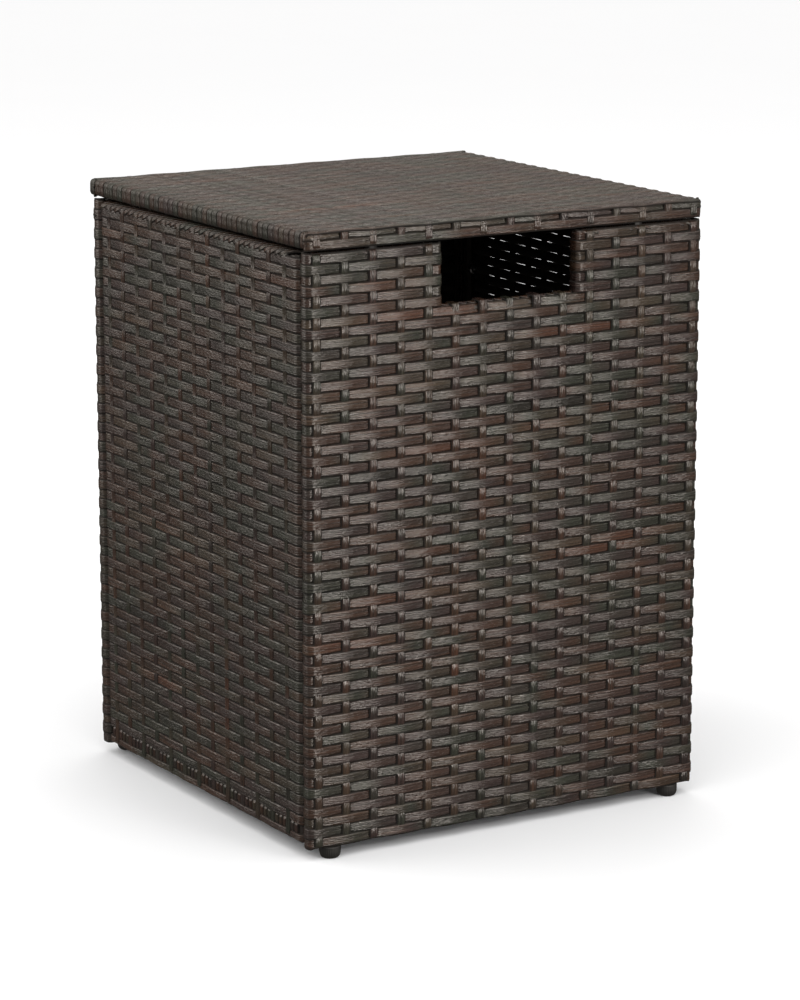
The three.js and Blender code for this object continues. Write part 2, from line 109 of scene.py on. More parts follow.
# How a stake goes in and out, with its points in shares of the rows' pitch, and how it tucks under the
# windings at the top and the last strip at the hem, in shares of the strip's thickness
STAKE_BEND_SHARES = (-0.24, 0.0, 0.24, 0.5)
STAKE_FLAT_SHARE = 0.22
STAKE_DEPTH_SHARE = 0.15
SIDE_STAKE_SWING_SHARE = 0.6
TOP_TUCK_FADE = 2.5 * MM
HEM_TUCK_START = 2 * MM
HEM_TUCK_FADE = 3 * MM
HEM_TUCK_SHARE = 0.8

# How far strands run on round a tube, in quarter turns, and the steps between their points there
ROW_TURNS = (2.2, 2.2)
LID_EDGE_ROW_TURNS = (1.1, 1.1)
STAKE_TURNS = (2.4, 2.4)
ROW_WRAP_STEP = 2.4 * MM
STAKE_WRAP_STEP = 1.4 * MM

# Half waves of the drift that keeps a strand from lying dead straight, and how small each may get as a
# share of its full reach
DRIFT_WAVES = (70 * MM, 31 * MM)
DRIFT_LEAST_SHARE = 0.3

# Windings round the level tubes: their arcs in degrees from straight out, how far half a turn moves on,
# in turns, and how far they stand proud of the tube
FRONT_RIM_ARC, FRONT_RIM_PROUD = (40, 300), 0.9 * MM
SILL_ARC, SILL_PROUD = (60, 300), -1.7 * MM
BACK_RIM_ARC, BACK_RIM_PROUD = (60, 300), 0.0
SIDE_RIM_ARC, SIDE_RIM_PROUD = (18, 290), 0.3 * MM
WIDE_RIM_SLANT, SIDE_RIM_SLANT = 1.0, 5.0
SIDE_RIM_TURNS_TO_STAKE = 3
WINDING_POINTS = 24
WINDING_WIDTH_SHARE = 0.49
WINDING_RELIEF_SHARE = 0.35

# The narrow uprights at a side wall's hem: the length and steps of their hidden tails, how many points
# show, how they tuck under what holds them, and their width and depths in shares
HEM_TAIL = 24 * MM
HEM_TAIL_STEP = 1.8 * MM
HEM_POINTS = 12
HEM_OVERRUN = 2 * MM
HEM_OVERLAP = 1.2 * MM
HEM_FADE = 2 * MM
HEM_WIDTH_SHARE = 0.47
HEM_DEPTH_SHARE = 0.5
HEM_UNDER_SHARE = 0.9

# The lid: how far its rows reach round the front and back edges, and its edge rows' swing and widths
LID_ROWS_SPARE_SHARE = 0.6
UPPER_EDGE_SWING_SHARE = 1.8
UPPER_EDGE_WIDTH_SHARE = 1.03
LOWER_EDGE_WIDTH_SHARE = 1.12

# The feet: ribs, rounded shoulder and toe, and the sole and the bulge in shares of diameter and height
FOOT_RIBS = 36
POINTS_TO_RIB = 6
FOOT_RIB_DEPTH = 0.28 * MM
FOOT_SHOULDER = 0.8 * MM
FOOT_TOE = 0.4 * MM
FOOT_SOLE_SHARE = 0.72
FOOT_FLAT_SHARE = 0.93
FOOT_BULGE_SHARE = 0.62
FOOT_CURVE_POINTS = 9
FOOT_SHOULDER_POINTS = 4
SAME_POINT = 0.001 * MM

# Room that the bake's map leaves at its sides and between two strands, in shares
BAKE_MARGIN_SHARE = 0.002
BAKE_GAP_SHARE = 0.06

# Seeds of the strips' tones, and first seeds of the strands' drift
TONE_SEEDS = {"rows": 11, "stakes": 23, "side_rows": 31, "side_stakes": 43, "windings": 57, "hem": 61,
              "lid_rows": 71, "lid_edge_rows": 73, "lid_stakes": 79}
DRIFT_SEEDS = {"stakes": 100, "side_rows": 200, "hem_row": 300, "side_stakes": 400, "lid_rows": 500,
               "lid_edge_rows": 600, "lid_stakes": 700}
LID_EDGE_SEED_STEP = 10

# The resin's pattern: how long and wide its colour runs, fibre lines and rolled grain are. The real
# lines are finer. They are coarsened so that the baked texture can hold them
COLOUR_RUN = 200 * MM
FIBRE_RUN = 300 * MM
FIBRE_WIDTH = 1.7 * MM
GRAIN_RUN = 5 * MM
GRAIN_WIDTH = 1 * MM
TONE_SPREAD = 310.0

# Speck sizes of the other finishes. The moulded one is coarsened in the same way
PEEL_SPECK = 1.4 * MM
ZINC_SPECK = 2 * MM
MOULD_SPECK = 0.6 * MM
FLOOR_SPECK = 400 * MM

# Heights that the bumps stand for
RESIN_BUMP = 0.2 * MM
PEEL_BUMP = 0.08 * MM
MOULD_BUMP = 0.06 * MM

# The stage: half the floor's width, the lights' aim and the camera's near and far limits, in metres, and
# the wide light's height above the floor and spread in degrees
FLOOR_REACH = 30.0
LIGHT_AIM = (0.0, 0.0, 0.28)
CAMERA_NEAR, CAMERA_FAR = 0.05, 100.0
WIDE_LIGHT_RISE, WIDE_LIGHT_SPREAD = 56, 60

# The soft boxes: turned from the front in degrees, then their distance, height and size in metres
SoftBox = namedtuple("SoftBox", "name power turn reach height width depth")
SOFT_BOXES = (
    SoftBox("front_soft_box", "key", turn=10, reach=3.0, height=0.32, width=0.9, depth=0.6),
    SoftBox("edge_strip_light", "rim", turn=20, reach=3.0, height=1.6, width=1.2, depth=0.3),
    SoftBox("back_soft_box", "back", turn=150, reach=2.2, height=3.2, width=2.0, depth=2.0),
    SoftBox("side_soft_box", "side", turn=-125, reach=3.0, height=1.2, width=2.6, depth=2.0),
)

# Directions of the shared frame
AXIS_X = np.array((1.0, 0.0, 0.0))
AXIS_Y = np.array((0.0, 1.0, 0.0))
AXIS_Z = np.array((0.0, 0.0, 1.0))


# Settings


def linear_colour(code):
    """The linear colour of an sRGB hex code."""
    parts = [int(code[i:i + 2], 16) / 255 for i in (1, 3, 5)]
    return tuple(c / 12.92 if c <= 0.04045 else ((c + 0.055) / 1.055) ** 2.4 for c in parts)


def length_property(name, description, default):
    """A length setting in metres."""
    return bpy.props.FloatProperty(name=name, description=description, default=default, unit="LENGTH",
                                   precision=5)


def colour_property(name, description, code):
    """A colour setting whose default is an sRGB hex code."""
    return bpy.props.FloatVectorProperty(name=name, description=description, default=linear_colour(code),
                                         subtype="COLOR", size=3, min=0.0, max=1.0)


class WeaveSettings(bpy.types.PropertyGroup):
    """Sizes of the strip and of its weave."""

    strip_width: length_property("Strip width", "Width of the flat strip", 9.8 * MM)
    open_gap: length_property("Open gap", "How much narrower the right wall's rows are", 1.1 * MM)
    strip_thickness: length_property("Strip thickness", "Thickness of the flat strip", 1.5 * MM)
    row_pitch: length_property("Row pitch", "Height of one woven row", 9.05 * MM)
    stake_pitch: length_property("Stake pitch", "Distance between two stakes", 27.2 * MM)
    stake_width: length_property("Stake width", "Width of an upright strip", 8.8 * MM)
    row_swing: length_property("Row swing", "How far a row of a wide wall goes in and out", 2.3 * MM)
    side_swing: length_property("Side swing", "How far a row of a side wall goes in and out", 1.0 * MM)
    lid_swing: length_property("Lid swing", "How far a row of the lid goes in and out", 0.6 * MM)
    lid_relief: bpy.props.FloatProperty(name="Lid relief", default=1.0,
                                        description="Share of the ribs' depth on the lid")
    stake_swing: length_property("Stake swing", "How far a stake goes in and out", 0.9 * MM)
    wrap_slant: length_property("Wrap slant", "How far the lid's strips slant on its side edges", 3.0 * MM)
    corner_bend: length_property("Corner bend", "Radius of a row's bend round a corner", 6.0 * MM)
    edge_bend: length_property("Edge bend", "Radius of an upper or lower edge", 3.5 * MM)
    wander: length_property("Wander", "How far a strip strays from its line", 0.15 * MM)
    first_side_stake: length_property("First side stake", "From a side wall's first tube", 8.7 * MM)
    side_rim: length_property("Side rim", "Windings that show above a side wall's rows", 5.0 * MM)
    side_hem: length_property("Side hem", "Height of the windings under a side wall's rows", 17.3 * MM)
    hem_strip: length_property("Hem strip", "Width of the last strip at a side wall's hem", 6.7 * MM)
    hem_lip: length_property("Hem lip", "Bare edge under the last strip", 2.2 * MM)
    hem_windings: bpy.props.IntProperty(name="Hem windings", description="Hem windings to one stake pitch",
                                        default=4)
    lean: bpy.props.FloatProperty(name="Lean", default=math.radians(14), subtype="ANGLE",
                                  description="How far the lid's and the sill's upper row tip back")


class WickerColours(bpy.types.PropertyGroup):
    """Colours that run through the resin strip."""

    grey_green: colour_property("Grey green", "Cool part of the strip", "#232620")
    brown: colour_property("Brown", "Main colour of the strip", "#302119")
    purple_brown: colour_property("Purple brown", "Dull violet part of the strip", "#29201f")
    red_brown: colour_property("Red brown", "Warmest part of the strip", "#39241a")
    near_black: colour_property("Near black", "Darkest part of the strip", "#1a1814")
    tan: colour_property("Tan", "Lightest part of the strip", "#332920")


class FrameColours(bpy.types.PropertyGroup):
    """Colours of the hidden frame and the small parts."""

    coat: colour_property("Powder coat", "Coating on the steel tubes", "#211c19")
    zinc: colour_property("Zinc", "Plating on bolts and studs", "#b9bcbd")
    plastic: colour_property("Plastic", "Moulded feet and pegs", "#161616")


class StudioSettings(bpy.types.PropertyGroup):
    """Floor, light and camera."""

    floor: colour_property("Floor", "Pale floor", "#e2eaf3")
    light: colour_property("Light", "Warm white of every light", "#fff6ed")
    ambient: bpy.props.FloatProperty(name="Ambient", description="Strength of the light from above",
                                     default=1.4)
    back_share: bpy.props.FloatProperty(name="Back share", description="Share of the light from behind",
                                        default=0.5)
    low_ambient: bpy.props.FloatProperty(name="Low ambient", description="Strength of the light from below",
                                         default=0.22)
    sun: bpy.props.FloatProperty(name="Wide light", default=0.8,
                                 description="Strength of the wide light above the camera")
    backdrop: bpy.props.FloatProperty(name="Backdrop", description="Brightness behind the table",
                                      default=1.1)
    side: bpy.props.FloatProperty(name="Side light", description="Power of the left light", default=44.0,
                                  unit="POWER")
    back: bpy.props.FloatProperty(name="Back light", description="Power of the high light behind the table",
                                  default=26.0, unit="POWER")
    rim: bpy.props.FloatProperty(name="Edge light", description="Power of the narrow high light",
                                 default=20.0, unit="POWER")
    key: bpy.props.FloatProperty(name="Key light", description="Power of the front light", default=41.0,
                                 unit="POWER")
    turn: bpy.props.FloatProperty(name="Turn", description="Camera's angle round the table",
                                  default=math.radians(-30.99), subtype="ANGLE")
    rise: bpy.props.FloatProperty(name="Rise", description="Camera's angle above the floor",
                                  default=math.radians(12.5), subtype="ANGLE")
    distance: length_property("Distance", "From the camera to its aim", 3.355)
    aim: bpy.props.FloatVectorProperty(name="Aim", description="Point that the camera looks at",
                                       default=(0.0095, 0.0, 0.2559), subtype="XYZ", size=3)
    lens: bpy.props.FloatProperty(name="Lens", description="Focal length in millimetres", default=132.3)


# Where the panels lie


class WovenPanel:
    """Where a woven panel lies: its face between the centre lines of its four edge tubes."""

    def __init__(self, name, body, node, corner, run, rise, width, height):
        self.name, self.body, self.node = name, body, node
        self.corner, self.run, self.rise = np.array(corner), run, rise
        self.out = np.cross(run, rise)
        self.width, self.height = width, height
        weave = bpy.context.scene.tank_table_weave
        self.open_gap = weave.open_gap if name == "right" else 0.0
        self.relief, self.corner_relief = 1.0, CORNER_RELIEF_SHARE
        side = name in ("left", "right")
        self.swing = weave.side_swing if side else weave.row_swing
        self.stake_swing = weave.stake_swing * (SIDE_STAKE_SWING_SHARE if side else 1.0)
        self.corner_bend, self.edge_bend = weave.corner_bend, weave.edge_bend
        self.wrap_slant = 0.0


def wall_panels():
    """The four walls, each seen from outside with its run from left to right."""
    inset = MEMBER_RADIUS
    low = FRONT_LOW.z + inset
    height = FRONT_HIGH.z - FRONT_LOW.z - 2 * inset
    width = FRONT_HIGH.x - FRONT_LOW.x - 2 * inset
    side_width = SIDE_HIGH.y - SIDE_LOW.y - 2 * inset
    right_face = -SIDE_LOW.x
    back_face = -FRONT_LOW.y
    return {
        "front": WovenPanel("front", "cover", "front_weave", (FRONT_LOW.x + inset, FRONT_LOW.y, low),
                            AXIS_X, AXIS_Z, width, height),
        "back": WovenPanel("back", "cover", "back_weave", (FRONT_HIGH.x - inset, back_face, low),
                           -AXIS_X, AXIS_Z, width, height),
        "left": WovenPanel("left", "cover", "left_weave", (SIDE_LOW.x, SIDE_HIGH.y - inset, low),
                           -AXIS_Y, AXIS_Z, side_width, height),
        "right": WovenPanel("right", "cover", "right_weave", (right_face, SIDE_LOW.y + inset, low),
                            AXIS_Y, AXIS_Z, side_width, height),
    }


def lid_panel():
    """The lid's top, seen from above with the front edge nearest."""
    inset = MEMBER_RADIUS
    corner = (LID_LOW.x + inset, LID_LOW.y + inset, LID_HIGH.z)
    panel = WovenPanel("lid", "lid", "lid_weave", corner, AXIS_X, AXIS_Y,
                       LID_HIGH.x - LID_LOW.x - 2 * inset, LID_HIGH.y - LID_LOW.y - 2 * inset)
    weave = bpy.context.scene.tank_table_weave
    panel.swing, panel.stake_swing = weave.lid_swing, weave.lid_swing / 2
    panel.corner_bend, panel.wrap_slant = weave.edge_bend, weave.wrap_slant
    panel.relief, panel.corner_relief = weave.lid_relief, LID_EDGE_RELIEF_SHARE
    return panel


# Strands


def eased(share):
    """A share from 0 to 1 that starts and ends slowly."""
    held = np.clip(share, 0.0, 1.0)
    return held * held * (3 - 2 * held)


def swing(crossings, parity, deep_flat, top_flat, arch=1.0):
    """1 where a strip lies deep and 0 where it lies on top, with a short flat at each crossing. An arch
    over 1 rounds the strip where it lies on top."""
    before = np.floor(crossings)
    here = 1 - np.mod(before + parity, 2)
    flat = np.where(here > 0.5, deep_flat, top_flat)
    ramp = np.clip((crossings - before - flat) / (1 - deep_flat - top_flat), 0.0, 1.0)
    return (here + (1 - 2 * here) * ramp) ** arch


def round_the_ends(place, length, bend):
    """A line that is straight for its length and wraps a tube at each end, with bends of that radius."""
    spare = MEMBER_RADIUS - bend
    quarter = bend * math.pi / 2
    sign = np.where(place > length / 2, 1.0, -1.0)
    beyond = np.abs(place - length / 2) - length / 2 - spare
    turn = (np.clip(beyond, 0.0, quarter) + np.clip(beyond - quarter - 2 * spare, 0.0, quarter)) / bend
    flat = np.clip(beyond - quarter, 0.0, 2 * spare)
    back = np.maximum(beyond - 2 * quarter - 2 * spare, 0.0)
    reach = np.minimum(np.abs(place - length / 2), length / 2 + spare) + bend * np.sin(turn) - back
    return length / 2 + sign * reach, bend * np.cos(turn) - bend - flat, sign * np.sin(turn), np.cos(turn)


def strand(panel, place, length, depth, half, across, upright=False, start=0.0, lean=0.0, bend=None):
    """A strip's centre line, outward and sideways directions, half widths and relief, at each place."""
    line, side = (panel.rise, -panel.run) if upright else (panel.run, panel.rise)
    shift = panel.run if upright else panel.rise
    along, out, out_along, out_out = round_the_ends(place, length, bend or MEMBER_RADIUS)
    normal = np.outer(out_along, line) + np.outer(out_out, panel.out)
    centre = panel.corner + np.outer(along + start, line) + np.outer(out, panel.out)
    centre = centre - normal * np.reshape(depth, (-1, 1)) + np.outer(np.ones(len(place)) * across, shift)
    sideways = np.tile(side, (len(place), 1))
    lean = np.reshape(np.ones(len(place)) * lean, (-1, 1))
    normal, sideways = (normal * np.cos(lean) + sideways * np.sin(lean),
                        sideways * np.cos(lean) - normal * np.sin(lean))
    bent = 0.0 if upright else eased((1 - out_out) / FULL_BEND_SHARE)
    relief = panel.relief * (1 - (1 - panel.corner_relief) * bent)
    wide = 1 + (CORNER_WIDTH_SHARE - 1) * bent
    return centre, normal, sideways, np.ones(len(place)) * half * wide, np.ones(len(place)) * relief


def wandering(place, seed, reach):
    """A slow seeded drift along a strip."""
    rng = np.random.default_rng(seed)
    total = np.zeros(len(place))
    for wave in DRIFT_WAVES:
        start = rng.uniform(0, 2 * math.pi)
        total += np.sin(place / wave * math.pi + start) * rng.uniform(DRIFT_LEAST_SHARE, 1)
    return total * reach / 2


# Meshes


def swept_strip(strand_here, thickness):
    """A swept strip's points and faces, and how far along and round the strip each face corner lies."""
    centre, normal, sideways, half, relief = strand_here
    across = np.array(SECTION_ACROSS_SHARES)
    depth = np.array(SECTION_DEPTH_SHARES) * thickness
    steps, ring = len(centre), len(across)
    ribbed = np.arange(ring) < ring - UNDERSIDE_POINTS
    sunk = np.where(ribbed, depth * relief[:, None], depth)
    spread = sideways[:, None] * (across * half[:, None])[..., None]
    points = centre[:, None] + spread - normal[:, None] * sunk[..., None]
    travelled = np.concatenate(([0.0], np.cumsum(np.linalg.norm(np.diff(centre, axis=0), axis=1))))
    section = np.stack((across * np.mean(half), depth), 1)
    sides = np.linalg.norm(np.roll(section, -1, axis=0) - section, axis=1)
    girth = np.concatenate(([0.0], np.cumsum(sides)))
    step, place = np.divmod(np.arange((steps - 1) * ring), ring)
    corner_step = np.stack((step, step + 1, step + 1, step), 1)
    corner_place = np.stack((place, place, place + 1, place + 1), 1)
    faces = (corner_step * ring + corner_place % ring).tolist()
    along, around = [travelled[corner_step].ravel()], [girth[corner_place].ravel()]
    for end, order in ((0, np.arange(ring)), (steps - 1, np.arange(ring)[::-1])):
        faces.append((end * ring + order).tolist())
        along.append(np.full(ring, travelled[end]))
        around.append(girth[order])
    return points.reshape(-1, 3), faces, np.concatenate(along), np.concatenate(around)


def add_map(mesh, name, pairs):
    """A map with one pair of values for each face corner."""
    mesh.uv_layers.new(name=name).data.foreach_set("uv", pairs.astype(np.float32).ravel())


def add_values(mesh, name, values):
    """A value for each point, for the material to read."""
    attribute = mesh.attributes.new(name, "FLOAT", "POINT")
    attribute.data.foreach_set("value", values.astype(np.float32))


def woven_piece(name, strands, thickness, panel, material, seed):
    """One object that holds many swept strips, with the maps and values that their material reads."""
    rng = np.random.default_rng(seed)
    lips = np.abs(SECTION_ACROSS_SHARES) > LIP_SHARE
    points, faces, strip_map, bake_map, tones, edges = [], [], [], [], [], []
    longest = max(np.linalg.norm(np.diff(centre, axis=0), axis=1).sum() for centre, *_ in strands)
    count = 0
    for number, strand_here in enumerate(strands):
        body, sides, along, around = swept_strip(strand_here, thickness)
        faces += [[count + corner for corner in face] for face in sides]
        count += len(body)
        points.append(body)
        strip_map.append(np.stack((along, around), 1))
        low = (number + BAKE_GAP_SHARE) / len(strands)
        tall = (1 - 2 * BAKE_GAP_SHARE) / len(strands)
        bake_map.append(np.stack((BAKE_MARGIN_SHARE + (1 - 2 * BAKE_MARGIN_SHARE) * along / longest,
                                  low + tall * around / around.max()), 1))
        tones.append(np.full(len(body), rng.uniform()))
        # Marks the lips and underside, whose colour the material darkens with painted shade
        edges.append(np.tile(lips, len(strand_here[0])))
    mesh = bpy.data.meshes.new(name)
    mesh.from_pydata(np.concatenate(points), [], faces)
    add_map(mesh, "StripMap", np.concatenate(strip_map))
    add_map(mesh, "OFBake", np.concatenate(bake_map))
    add_values(mesh, "strip_tone", np.concatenate(tones))
    add_values(mesh, "strip_edge", np.concatenate(edges))
    mesh.polygons.foreach_set("use_smooth", np.ones(len(mesh.polygons), dtype=bool))
    mesh.materials.append(material)
    mesh.update()
    piece = bpy.data.objects.new(name, mesh)
    bpy.context.scene.collection.objects.link(piece)
    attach(piece, panel.body)
    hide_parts(panel.node)


# Rows and stakes


def wrap_places(length, turns, step):
    """Places round the tube before the straight part and round the one after it."""
    quarter = MEMBER_RADIUS * math.pi / 2
    before = -np.arange(step, turns[0] * quarter, step)[::-1]
    after = length + np.arange(step, turns[1] * quarter, step)
    return before, after


def row_places(length, first, pitch, parity, deep_flat):
    """Places along a row, close together where it bends over or under a stake."""
    places = {0.0, length}
    for number in range(-1, round(length / pitch) + 2):
        crossing = first + number * pitch
        deep = (number + parity) % 2 == 0
        bends = (-deep_flat, deep_flat) if deep else [share * pitch for share in ROW_BEND_SHARES]
        places.update(round(crossing + bend, 6) for bend in (*bends, pitch / 2))
    return np.array(sorted(place for place in places if 0.0 <= place <= length))


def row_strand(panel, weave, first, crossings, parity, up, seed, lean=0.0, start=0.0, width=None,
               half=None, turns=ROW_TURNS, tilted=None):
    """A woven row: over and under the stakes, and round the tube at each end. First is the place of the
    first stake, crossings their number, and parity says whether the row starts over or under. Tilted
    holds where the row begins and stops leaning back, and how far it leans there."""
    length = panel.width if width is None else width
    half = weave.strip_width / 2 if half is None else half
    pitch = weave.stake_pitch
    deep_flat = weave.stake_width / 2
    before, after = wrap_places(length, turns, ROW_WRAP_STEP)
    place = np.concatenate((before, row_places(length, first, pitch, parity, deep_flat), after))
    count = np.clip((place - first) / pitch, 0, crossings - 1)
    deep = swing(count, parity, deep_flat / pitch, 0.0, ROW_ARCH)
    beyond = np.maximum(first - place, place - first - (crossings - 1) * pitch)
    plain = eased((beyond - deep_flat) / PLAIN_FADE)
    depth = panel.swing * deep * (1 - PLAIN_SHALLOWER_SHARE * plain)
    inside = np.minimum(place, length - place)
    gap = panel.open_gap * eased((inside - GAP_START_SHARE * pitch) / GAP_FADE)
    if tilted:
        begins, stops, angle = tilted
        share = eased((place - begins) / LEAN_FADE) * eased((stops - place) / LEAN_FADE)
        lean = lean + share * angle
        depth = depth + share * half * math.sin(angle)
    strayed = up + wandering(place, seed, weave.wander) + panel.wrap_slant * eased(-inside / SLANT_FADE)
    return strand(panel, place, length, depth, half - gap / 2, strayed, start=start, lean=lean,
                  bend=panel.corner_bend)


def stake_strand(panel, weave, across, crossings, parity, seed, length=None, buried=None):
    """An upright strip: over and under the rows at the given heights, and round the tube at each end. From
    its buried height up, and at its foot, it tucks under other strips."""
    length = panel.height if length is None else length
    crossings = np.array(crossings)
    inner = np.concatenate([crossings + share * weave.row_pitch for share in STAKE_BEND_SHARES])
    inner = np.unique(np.round(inner[(inner > 0.0) & (inner < length)], 6))
    before, after = wrap_places(length, STAKE_TURNS, STAKE_WRAP_STEP)
    place = np.concatenate((before, (0.0,), inner, (length,), after))
    count = np.interp(place, crossings, np.arange(len(crossings)))
    deep = swing(count, parity, STAKE_FLAT_SHARE, STAKE_FLAT_SHARE)
    depth = weave.strip_thickness * STAKE_DEPTH_SHARE + deep * panel.stake_swing
    if buried:
        depth = depth + eased((place - buried) / TOP_TUCK_FADE) * weave.strip_thickness
        below = eased((-HEM_TUCK_START - place) / HEM_TUCK_FADE)
        depth = depth + below * weave.strip_thickness * HEM_TUCK_SHARE
    strayed = across + wandering(place, seed, weave.wander)
    return strand(panel, place, length, depth, weave.stake_width / 2, strayed, upright=True,
                  bend=panel.edge_bend)


# Walls, lid and feet


def centred_stakes(width, pitch):
    """How many stakes a panel takes with one at its middle, and where the first one stands."""
    each_side = math.floor(width / 2 / pitch)
    return 2 * each_side + 1, width / 2 - each_side * pitch


def wide_wall(panel, weave, material, slot):
    """The front or back wall: rows that wrap both corner posts, and their stakes. With a slot, the upper
    rows stop at its jambs and the row on its sill leans back."""
    tall = panel.height + 2 * MEMBER_RADIUS
    rows = round(tall / weave.row_pitch)
    pitch = tall / rows
    heights = [panel.height + MEMBER_RADIUS - (row + 0.5) * pitch for row in range(rows)]
    stakes, first = centred_stakes(panel.width, weave.stake_pitch)
    slot_rows = round((FRONT_HIGH.z - SILL_HEIGHT - MEMBER_RADIUS) / pitch) if slot else 0
    middle = panel.width / 2
    left, right = middle - JAMB_OFFSET, middle + JAMB_OFFSET
    beside = sum(first + stake * weave.stake_pitch < left for stake in range(stakes))
    past_slot = stakes - beside
    strips = []
    for row, up in enumerate(heights):
        if row < slot_rows:
            strips.append(row_strand(panel, weave, first, beside, row, up, row, width=left))
            strips.append(row_strand(panel, weave, first + past_slot * weave.stake_pitch - right, beside,
                                     row + past_slot, up, row + rows, start=right, width=left))
        else:
            on_sill = slot and row == slot_rows
            tilted = (left + MEMBER_RADIUS, right - MEMBER_RADIUS, weave.lean) if on_sill else None
            strips.append(row_strand(panel, weave, first, stakes, row, up, row, tilted=tilted))
    woven_piece(f"{panel.name}_rows", strips, weave.strip_thickness, panel, material, TONE_SEEDS["rows"])
    strips = []
    for stake in range(stakes):
        across = first + stake * weave.stake_pitch
        cut = slot and abs(across - middle) < JAMB_OFFSET
        kept = heights[slot_rows:] if cut else heights
        length = SILL_HEIGHT - panel.corner[2] if cut else panel.height
        strips.append(stake_strand(panel, weave, across, kept[::-1], stake + rows,
                                   DRIFT_SEEDS["stakes"] + stake, length))
    woven_piece(f"{panel.name}_stakes", strips, weave.strip_thickness, panel, material,
                TONE_SEEDS["stakes"])


def side_wall(panel, weave, material):
    """A side wall: rows that wrap its two stiles, one more at the hem, stakes, and the hem's uprights."""
    usable = panel.height + 2 * MEMBER_RADIUS - weave.side_rim - weave.side_hem
    rows = round(usable / weave.row_pitch)
    pitch = usable / rows
    top = panel.height + MEMBER_RADIUS - weave.side_rim
    heights = [top - (row + 0.5) * pitch for row in range(rows)]
    hem_up = weave.hem_strip / 2 + weave.hem_lip - MEMBER_RADIUS
    first = weave.first_side_stake
    stakes = math.floor((panel.width - first) / weave.stake_pitch) + 1
    strips = []
    for row, up in enumerate(heights):
        strips.append(row_strand(panel, weave, first, stakes, row + 1, up, DRIFT_SEEDS["side_rows"] + row))
    strips.append(row_strand(panel, weave, first, stakes, rows, hem_up, DRIFT_SEEDS["hem_row"],
                             half=weave.hem_strip / 2))
    woven_piece(f"{panel.name}_rows", strips, weave.strip_thickness, panel, material,
                TONE_SEEDS["side_rows"])
    strips = []
    for stake in range(stakes):
        over_hem = (stake + rows) % 2 == 0
        hem_places = [hem_up] if over_hem else [hem_up, (hem_up + heights[-1]) / 2]
        strips.append(stake_strand(panel, weave, first + stake * weave.stake_pitch,
                                   [*hem_places, *heights[::-1]], int(over_hem),
                                   DRIFT_SEEDS["side_stakes"] + stake, buried=top))
    woven_piece(f"{panel.name}_stakes", strips, weave.strip_thickness, panel, material,
                TONE_SEEDS["side_stakes"])
    hem_uprights(panel, weave, material, first)


def windings(panel, weave, material, name, span, base, count, slant, arc, proud):
    """Turns of strip wound round a level tube, seen at a wall's rim or sill. The slant is how far half
    a turn moves on, in turns."""
    step = (span[1] - span[0]) / count
    tilt = math.atan(step * slant / (math.pi * MEMBER_RADIUS))
    angle = np.radians(np.linspace(arc[0], arc[1], WINDING_POINTS))
    normal = np.outer(np.cos(angle), panel.out) + np.outer(np.sin(angle), panel.rise)
    half = np.full(len(angle), step * math.cos(tilt) * WINDING_WIDTH_SHARE)
    relief = np.full(len(angle), WINDING_RELIEF_SHARE)
    strips = []
    for turn in range(count):
        across = span[0] + (turn + 0.5) * step + (angle / math.pi - 0.5) * step * slant
        across = np.clip(across, span[0] - MEMBER_RADIUS / 2, span[1] + MEMBER_RADIUS / 2)
        centre = panel.corner + panel.rise * base - panel.out * MEMBER_RADIUS
        centre = centre + np.outer(across, panel.run) + normal * (MEMBER_RADIUS + proud)
        sideways = np.cross(normal, np.gradient(centre, axis=0))
        sideways /= np.linalg.norm(sideways, axis=1)[:, None]
        strips.append((centre, normal, sideways, half, relief))
    woven_piece(name, strips, weave.strip_thickness, panel, material, TONE_SEEDS["windings"])


def hem_uprights(panel, weave, material, first):
    """Narrow upright turns at a side wall's hem, between the stakes."""
    step = weave.stake_pitch / weave.hem_windings
    low = weave.hem_strip + weave.hem_lip - MEMBER_RADIUS
    high = weave.side_hem - MEMBER_RADIUS
    tail = -np.arange(HEM_OVERRUN, HEM_TAIL, HEM_TAIL_STEP)[::-1]
    place = np.concatenate((tail, np.linspace(0.0, high + HEM_OVERRUN, HEM_POINTS)))
    under_strip = eased((low + HEM_OVERLAP - place) / HEM_FADE)
    under_row = eased((place - high + HEM_OVERLAP) / HEM_FADE)
    under = HEM_DEPTH_SHARE + HEM_UNDER_SHARE * np.maximum(under_strip, under_row)
    strips = []
    for number in range(math.ceil(-first / step), math.floor((panel.width - first) / step) + 1):
        if number % weave.hem_windings:
            strips.append(strand(panel, place, panel.height, weave.strip_thickness * under,
                                 step * HEM_WIDTH_SHARE, first + number * step, upright=True,
                                 bend=panel.edge_bend))
    woven_piece(f"{panel.name}_hem", strips, weave.strip_thickness, panel, material, TONE_SEEDS["hem"])


def lid_edge_strands(panel, weave, first, stakes):
    """Two rows on the lid's front edge and two on its back edge. The upper ones lean back."""
    half = LID_THICKNESS / 4
    strips = []
    for end in (0, 1):
        out = panel.rise * (2 * end - 1)
        corner = panel.corner + end * (panel.rise * panel.height + panel.run * panel.width)
        face = WovenPanel("edge", "lid", "lid_weave", corner + (out - panel.out) * MEMBER_RADIUS,
                          panel.run * (1 - 2 * end), panel.out, panel.width, LID_THICKNESS)
        for number, upper in enumerate((True, False)):
            face.swing = weave.side_swing * (UPPER_EDGE_SWING_SHARE if upper else 1.0)
            width_share = UPPER_EDGE_WIDTH_SHARE if upper else LOWER_EDGE_WIDTH_SHARE
            lean = weave.lean if upper else 0.0
            seed = DRIFT_SEEDS["lid_edge_rows"] + number + LID_EDGE_SEED_STEP * end
            edge_row = row_strand(face, weave, first, stakes, number + 1, half if upper else -half, seed,
                                  lean, half=half * width_share, turns=LID_EDGE_ROW_TURNS)
            edge_row[0][:] -= face.out * half * math.sin(lean)
            strips.append(edge_row)
    return strips


